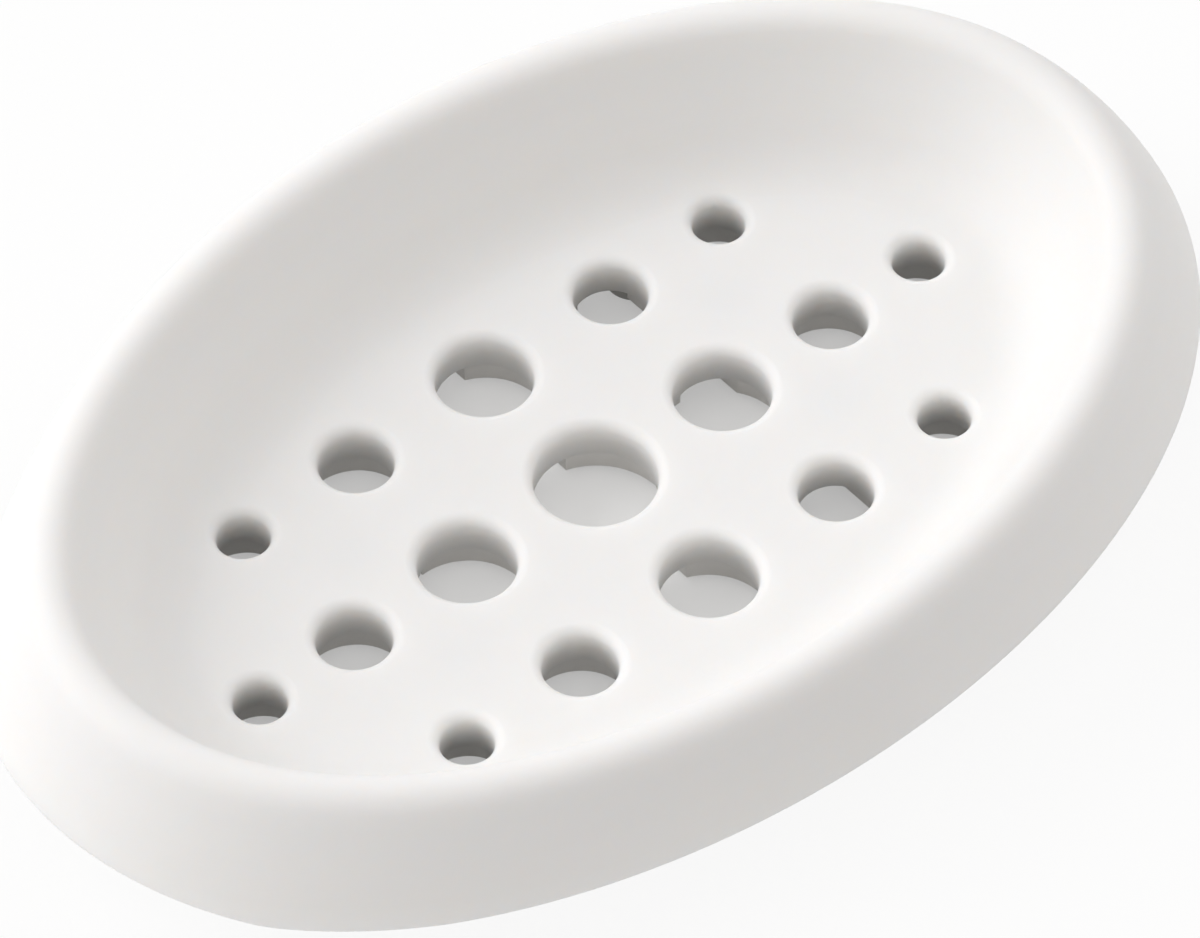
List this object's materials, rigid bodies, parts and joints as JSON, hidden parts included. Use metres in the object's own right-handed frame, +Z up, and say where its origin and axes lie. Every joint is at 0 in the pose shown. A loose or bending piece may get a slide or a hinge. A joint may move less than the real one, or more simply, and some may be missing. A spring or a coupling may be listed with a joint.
{
  "type": "soap dish",
  "caption": "Shallow oval soap dish with a perforated floor, a rounded rim and a leaning skirt, on a channelled drain base with non-slip pads.",
  "frame": {"origin": "on the surface that the dish stands on, under the centre of its middle drain hole", "axes": "+X along the dish, +Y across it to the side away from the picture's viewer, +Z up out of the bowl"},
  "size_m": [0.1302, 0.0864, 0.0216],
  "materials": {
    "dish_white": "smooth, fine matte",
    "base_white": "smooth, matte",
    "pad_rubber": "soft, matte"
  },
  "bodies": {
    "root": {"dish": "dish_white", "drain_base": "base_white", "pad_front_left": "pad_rubber", "pad_front_right": "pad_rubber", "pad_rear_left": "pad_rubber", "pad_rear_right": "pad_rubber"}
  },
  "joints": []
}
